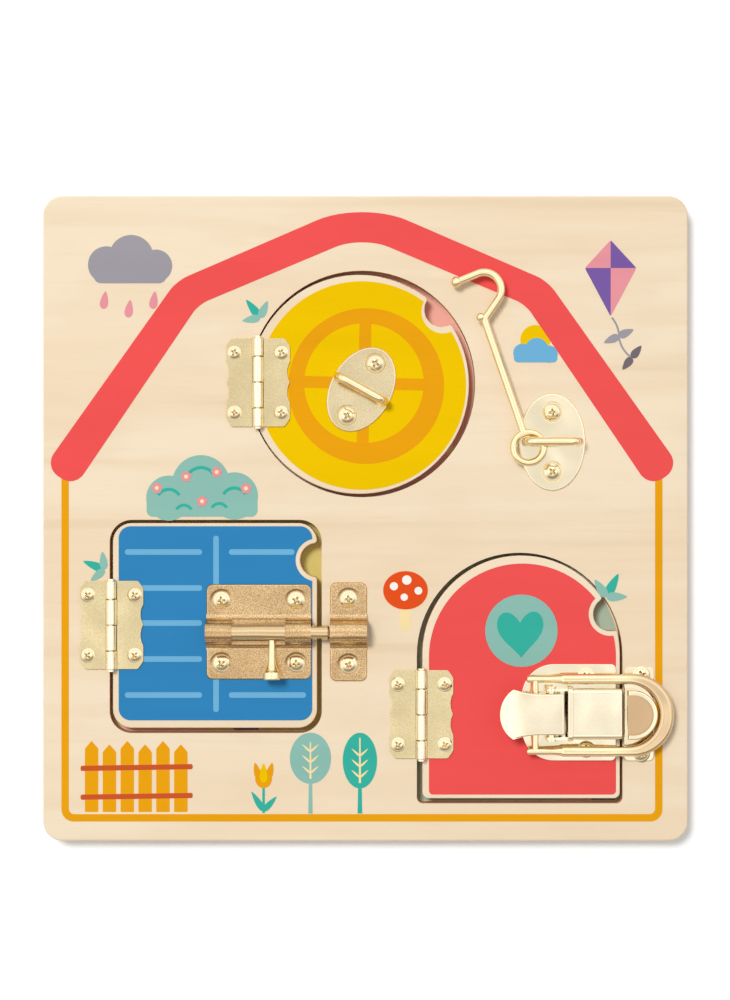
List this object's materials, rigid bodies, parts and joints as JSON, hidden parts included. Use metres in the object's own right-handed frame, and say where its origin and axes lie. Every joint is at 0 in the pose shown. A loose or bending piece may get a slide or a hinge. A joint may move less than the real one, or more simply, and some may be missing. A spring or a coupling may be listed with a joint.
{
  "type": "latch board",
  "caption": "Flat wooden latch board toy with a printed farmhouse scene and hinged doors, each closed by a different latch: a hook and eye, a barrel bolt and a draw latch.",
  "frame": {"origin": "centre of the board's back face, which is the bottom of its bounding box", "axes": "the board lies on its back: +X to the right of the picture, +Y to its top, +Z out of its front face"},
  "size_m": [0.3, 0.3, 0.025],
  "materials": {
    "back_ply": "plain plywood",
    "face_ply": "lacquered plywood with a printed scene",
    "door_ply": "lacquered plywood, printed",
    "hinge_plate": "satin pale gold plating",
    "bolt_plate": "satin rose gold plating",
    "bright_plate": "polished pale gold plating",
    "screw": "bright pale gold plating"
  },
  "bodies": {
    "board": {"back_board": "back_ply", "face_panel": "face_ply", "window_hinge_frame_leaf": "hinge_plate", "window_hinge_pin": "hinge_plate", "window_hinge_frame_screws": "screw", "shutter_hinge_frame_leaf": "hinge_plate", "shutter_hinge_pin": "hinge_plate", "shutter_hinge_frame_screws": "screw", "arched_hinge_frame_leaf": "hinge_plate", "arched_hinge_pin": "hinge_plate", "arched_hinge_frame_screws": "screw", "bolt_keeper": "bolt_plate", "bolt_keeper_screws": "screw", "anchor_plate": "bright_plate", "anchor_staple": "bright_plate", "anchor_screws": "screw", "latch_strike": "bright_plate", "latch_strike_screws": "screw"},
    "window_door": {"window_door": "door_ply", "window_hinge_door_leaf": "hinge_plate", "window_hinge_door_screws": "screw", "eye_plate": "bright_plate", "eye_staple": "bright_plate", "eye_screws": "screw"},
    "shutter_door": {"shutter_door": "door_ply", "shutter_hinge_door_leaf": "hinge_plate", "shutter_hinge_door_screws": "screw", "bolt_plate": "bolt_plate", "bolt_plate_screws": "screw"},
    "bolt_rod": {"bolt_rod": "bright_plate"},
    "bolt_knob": {"bolt_knob": "bright_plate"},
    "arched_door": {"arched_door": "door_ply", "arched_hinge_door_leaf": "hinge_plate", "arched_hinge_door_screws": "screw", "latch_base": "bright_plate", "latch_base_screws": "screw", "latch_lever_pin": "bright_plate"},
    "latch_lever": {"latch_lever": "bright_plate"},
    "latch_bail": {"latch_bail": "bright_plate"},
    "hook": {"hook": "bright_plate"}
  },
  "joints": [
    {"name": "window_door_swing", "type": "hinge", "parent": "board", "child": "window_door", "pos_m": [-0.05, 0.0632, 0.0147], "axis": [0, -1, 0], "range_deg": [0, 150]},
    {"name": "shutter_door_swing", "type": "hinge", "parent": "board", "child": "shutter_door", "pos_m": [-0.1181, -0.0495, 0.0147], "axis": [0, -1, 0], "range_deg": [0, 165]},
    {"name": "arched_door_swing", "type": "hinge", "parent": "board", "child": "arched_door", "pos_m": [0.026, -0.091, 0.0147], "axis": [0, -1, 0], "range_deg": [0, 145]},
    {"name": "hook_swing", "type": "hinge", "parent": "board", "child": "hook", "pos_m": [0.0746, 0.0356, 0.0175], "axis": [0, 0, 1], "range_deg": [-90, 52]},
    {"name": "bolt_slide", "type": "slide", "parent": "shutter_door", "child": "bolt_rod", "axis": [1, 0, 0], "range_m": [-0.0165, 0.004]},
    {"name": "bolt_turn", "type": "hinge", "parent": "bolt_rod", "child": "bolt_knob", "pos_m": [-0.0433, -0.0527, 0.01715], "axis": [-1, 0, 0], "range_deg": [0, 160]},
    {"name": "latch_lever_turn", "type": "hinge", "parent": "arched_door", "child": "latch_lever", "pos_m": [0.0858, -0.0901, 0.02], "axis": [0, 1, 0], "range_deg": [0, 125]},
    {"name": "latch_bail_turn", "type": "hinge", "parent": "latch_lever", "child": "latch_bail", "pos_m": [0.0785, -0.0901, 0.0186], "axis": [0, 1, 0], "range_deg": [-157, 0]}
  ],
  "couplings": [
    {"joint": "latch_bail_turn", "follows": "latch_lever_turn", "ratio": -1.25}
  ]
}
